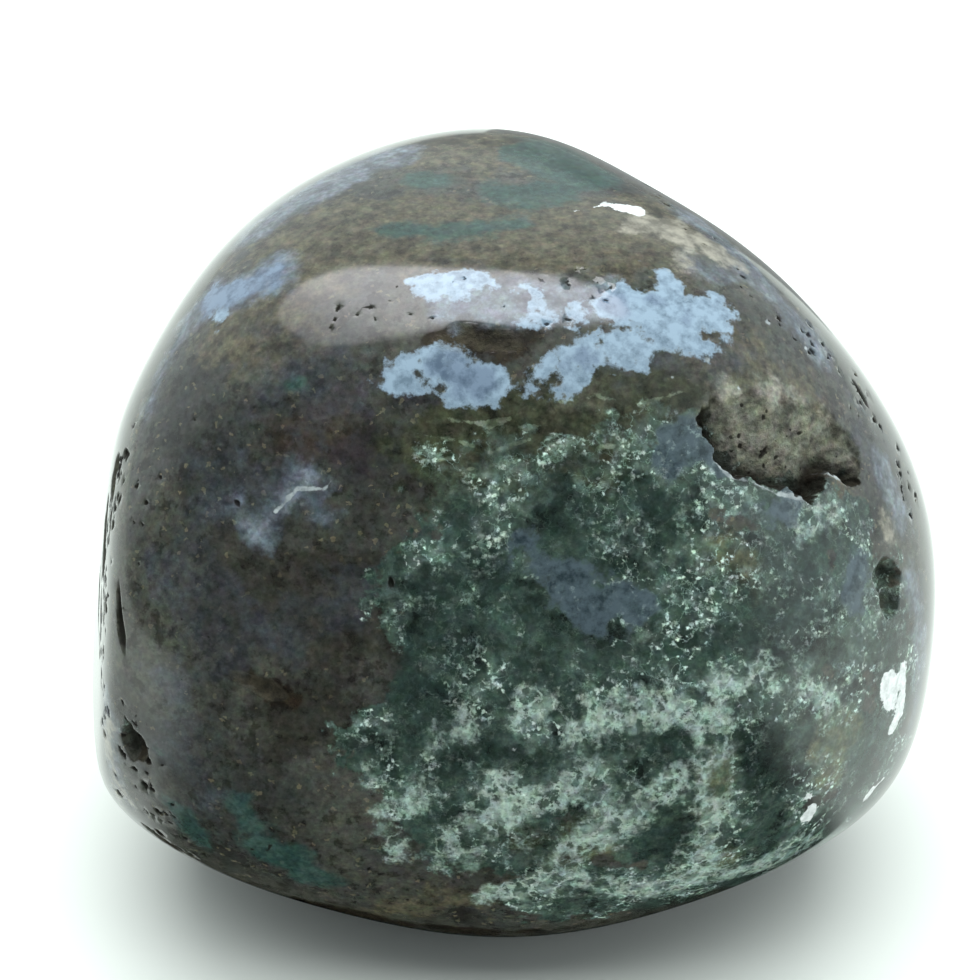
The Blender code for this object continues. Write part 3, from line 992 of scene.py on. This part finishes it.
roughness = add("ShaderNodeMapRange", {"Value": dull, "To Min": 0.11, "To Max": 0.8})
sheen = add("ShaderNodeMapRange", {"Value": dull, "From Max": 0.25, "To Min": 0.5, "To Max": 0.12})
relief = add("ShaderNodeMath", {0: pattern["grain"], 1: hollow}, operation="MULTIPLY")
bump = add("ShaderNodeBump", {"Height": relief, "Distance": 0.12 * MM, "Strength": 0.8})
tree.links.new(colour, shader.inputs["Base Color"])
tree.links.new(roughness, shader.inputs["Roughness"])
tree.links.new(sheen, shader.inputs["Specular IOR Level"])
tree.links.new(bump, shader.inputs["Normal"])
shader.inputs["IOR"].default_value = 1.54
stone_mesh.materials.append(agate)

stone = bpy.data.objects.new("moss_agate", stone_mesh)
bpy.context.scene.collection.objects.link(stone)
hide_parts("stone")
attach(stone, "root")

# The studio
# White paper lies under the stone, with a broad soft light over it and pale walls round it, but for the
# viewer's side. Two cards and a small lamp are there only for the polish to show.
PAPER_WIDTH = 6.0
PAPER_COLOUR = "#f0f3ee"


def flat_sheet(name, outline, material):
    """A flat sheet of the given outline, as part of the studio."""
    mesh = bpy.data.meshes.new(name)
    mesh.from_pydata(outline, [], [range(len(outline))])
    mesh.materials.append(material)
    sheet = bpy.data.objects.new(name, mesh)
    bpy.context.scene.collection.objects.link(sheet)
    return sheet


matt_paper = bpy.data.materials.new("matt_white_paper")
matt_paper.use_nodes = True
matt_shader = matt_paper.node_tree.nodes["Principled BSDF"]
matt_shader.inputs["Base Color"].default_value = linear(PAPER_COLOUR)
matt_shader.inputs["Roughness"].default_value = 0.9
matt_shader.inputs["Specular IOR Level"].default_value = 0.1
edge = PAPER_WIDTH / 2
paper_outline = [(-edge, -edge, 0), (edge, -edge, 0), (edge, edge, 0), (-edge, edge, 0)]
flat_sheet("white_paper", paper_outline, matt_paper)

# A black card in front of the stone keeps glare from its face. The card is widest far from the stone and
# fades at its sides.
CARD_WIDTH = 3.0
CARD_EDGE = -0.012
CARD_HEIGHT = 0.0004
CARD_NECK = 0.02
CARD_SPREAD = 0.45
CARD_FADE = 0.6
CARD_COLOUR = "#1c1c1c"
black_card = bpy.data.materials.new("matt_black_card")
black_card.use_nodes = True
tree = black_card.node_tree
card_place = add("ShaderNodeSeparateXYZ", {0: add("ShaderNodeTexCoord", output="Object")})
aside = add("ShaderNodeMath", {0: card_place}, operation="ABSOLUTE")
aside = add("ShaderNodeMath", {0: aside, 1: CARD_NECK}, operation="SUBTRACT")
in_front = add("ShaderNodeMath", {0: card_place.node.outputs["Y"]}, operation="ABSOLUTE")
aside = add("ShaderNodeMath", {0: aside, 1: in_front}, operation="DIVIDE")
cover = {"Value": aside, "From Min": CARD_SPREAD + CARD_FADE, "From Max": CARD_SPREAD}
cover = add("ShaderNodeMapRange", cover, interpolation_type="SMOOTHSTEP")
nothing = add("ShaderNodeBsdfTransparent")
black = add("ShaderNodeBsdfDiffuse", {"Color": linear(CARD_COLOUR)})
faded = add("ShaderNodeMixShader", {0: cover, 1: nothing, 2: black})
tree.links.new(faded, tree.nodes["Material Output"].inputs["Surface"])
side, far = CARD_WIDTH / 2, CARD_EDGE - CARD_WIDTH
card_outline = [(-side, far), (side, far), (side, CARD_EDGE), (-side, CARD_EDGE)]
card = flat_sheet("card", [(x, y, CARD_HEIGHT) for x, y in card_outline], black_card)

# A grey card behind the stone and to its right keeps glare from its top edge.
BACK_CARD = ((0.0, 0.1), (0.06, 0.1), (0.6, 1.5), (0.0, 1.5))
BACK_CARD_COLOUR = "#8c8c8c"
grey_card = bpy.data.materials.new("matt_grey_card")
grey_card.use_nodes = True
grey_shader = grey_card.node_tree.nodes["Principled BSDF"]
grey_shader.inputs["Base Color"].default_value = linear(BACK_CARD_COLOUR)
grey_shader.inputs["Specular IOR Level"].default_value = 0.0
back_card = flat_sheet("back_card", [(x, y, CARD_HEIGHT) for x, y in BACK_CARD], grey_card)
for sheet in (card, back_card):
    sheet.visible_camera = False
    sheet.visible_diffuse = False
    sheet.visible_shadow = False

# The lamp is the bright band across the brow. It is an oblong sheet with round corners, turned a little, and
# it fades towards its front and its left end. Its sizes and its place from the stone are shares of its
# height.
LAMP_HEIGHT = 0.35
LAMP_CENTRE = (-0.24, 0.31, 1.0)
LAMP_TURN = math.radians(24)
LAMP_HALF_WIDTH = 0.44
LAMP_HALF_DEPTH = 0.57
LAMP_CORNER = 0.36
CORNER_STEPS = 6
LAMP_FADE = 0.2
LAMP_STRENGTH = 5.4
LAMP_LEFT_SHARE = 0.45
LAMP_COLOUR = "#fafaff"
lamp_middle = shift * MM + LAMP_HEIGHT * np.array(LAMP_CENTRE)
lamp_right = np.array([math.cos(LAMP_TURN), math.sin(LAMP_TURN), 0])
lamp_back = np.array([-math.sin(LAMP_TURN), math.cos(LAMP_TURN), 0])
lamp_cloth = bpy.data.materials.new("lamp_cloth")
lamp_cloth.use_nodes = True
tree = lamp_cloth.node_tree
lamp_place = add("ShaderNodeTexCoord", output="Object")
backwards = add("ShaderNodeVectorMath", {0: lamp_place, 1: lamp_back}, "Value", operation="DOT_PRODUCT")
front = lamp_middle @ lamp_back - LAMP_HEIGHT * LAMP_HALF_DEPTH
fade = {"Value": backwards, "From Min": front, "From Max": front + LAMP_HEIGHT * LAMP_FADE}
fade = add("ShaderNodeMapRange", {**fade, "To Max": LAMP_STRENGTH}, interpolation_type="SMOOTHSTEP")
rightwards = add("ShaderNodeVectorMath", {0: lamp_place, 1: lamp_right}, "Value", operation="DOT_PRODUCT")
middle = lamp_middle @ lamp_right
dimming = {"Value": rightwards, "From Min": middle - LAMP_HEIGHT * LAMP_HALF_WIDTH, "From Max": middle}
dimming = add("ShaderNodeMapRange", {**dimming, "To Min": LAMP_LEFT_SHARE}, interpolation_type="SMOOTHSTEP")
fade = add("ShaderNodeMath", {0: fade, 1: dimming}, operation="MULTIPLY")
glow = add("ShaderNodeEmission", {"Strength": fade, "Color": linear(LAMP_COLOUR)})
tree.links.new(glow, tree.nodes["Material Output"].inputs["Surface"])
lamp_outline = []
for quarter, (x_side, y_side) in enumerate(((1, 1), (-1, 1), (-1, -1), (1, -1))):
    for i in range(CORNER_STEPS + 1):
        angle = math.pi / 2 * (quarter + i / CORNER_STEPS)
        x = x_side * (LAMP_HALF_WIDTH - LAMP_CORNER) + LAMP_CORNER * math.cos(angle)
        y = y_side * (LAMP_HALF_DEPTH - LAMP_CORNER) + LAMP_CORNER * math.sin(angle)
        lamp_outline.append(lamp_middle + LAMP_HEIGHT * (x * lamp_right + y * lamp_back))
lamp = flat_sheet("lamp", lamp_outline, lamp_cloth)
lamp.visible_diffuse = False
lamp.visible_shadow = False

# The soft light makes the faint shadow. Its colour is given as plain red, green and blue.
SOFT_LIGHT_PLACE = (0.02, 0.14, 1.6)
SOFT_LIGHT_WIDTH = 2.0
SOFT_LIGHT_POWER = 48.0
SOFT_LIGHT_COLOUR = (0.94, 1.0, 0.985)
soft_light = bpy.data.lights.new("soft_light", "AREA")
soft_light.shape = "SQUARE"
soft_light.size = SOFT_LIGHT_WIDTH
soft_light.energy = SOFT_LIGHT_POWER
soft_light.color = SOFT_LIGHT_COLOUR
soft_light_object = bpy.data.objects.new("soft_light", soft_light)
soft_light_object.location = SOFT_LIGHT_PLACE
soft_light_object.visible_glossy = False
bpy.context.scene.collection.objects.link(soft_light_object)

# The walls are dark on the viewer's side, dimmer behind the stone and overhead, and pale elsewhere. Each
# change runs between two cosines of the angle to its side, and has its brightness at both.
WALL_COLOUR = "#eef8fb"
DARK_SIDE = (-0.42, -0.91, 0.0)
DARK_RANGE = {"From Min": 0.75, "From Max": 0.25, "To Min": 0.06, "To Max": 1.2}
CEILING_RANGE = {"From Min": 0.45, "From Max": 0.85, "To Min": 1.0, "To Max": 0.3}
DIM_SIDE = (0.2, 0.98, 0.0)
DIM_RANGE = {"From Min": 0.9, "From Max": 0.98, "To Min": 1.0, "To Max": 0.4}
pale_walls = bpy.data.worlds.new("pale_walls")
pale_walls.use_nodes = True
bpy.context.scene.world = pale_walls
tree = pale_walls.node_tree
backdrop = tree.nodes["Background"]
direction = add("ShaderNodeTexCoord", output="Generated")
height = add("ShaderNodeSeparateXYZ", {0: direction}, "Z")
viewwards = add("ShaderNodeVectorMath", {0: direction, 1: DARK_SIDE}, "Value", operation="DOT_PRODUCT")
dimwards = add("ShaderNodeVectorMath", {0: direction, 1: DIM_SIDE}, "Value", operation="DOT_PRODUCT")
glow = 1.0
for way, change in ((viewwards, DARK_RANGE), (height, CEILING_RANGE), (dimwards, DIM_RANGE)):
    change = add("ShaderNodeMapRange", {"Value": way, **change}, interpolation_type="SMOOTHSTEP")
    glow = add("ShaderNodeMath", {0: glow, 1: change}, operation="MULTIPLY")
tree.links.new(glow, backdrop.inputs["Strength"])
backdrop.inputs["Color"].default_value = linear(WALL_COLOUR)

# The camera
# It looks down on the stone's face at the angle of the picture that the stone's places are read from.
camera_data = bpy.data.cameras.new("camera")
camera_data.lens = LENS
camera_data.sensor_width = SENSOR
camera_data.clip_start = 0.01
camera = bpy.data.objects.new("camera", camera_data)
camera.location = (CAMERA + shift) * MM
camera.rotation_euler = Matrix((RIGHT, UP, TOWARDS)).transposed().to_euler()
bpy.context.scene.collection.objects.link(camera)
bpy.context.scene.camera = camera
bpy.context.scene.view_settings.view_transform = "Standard"
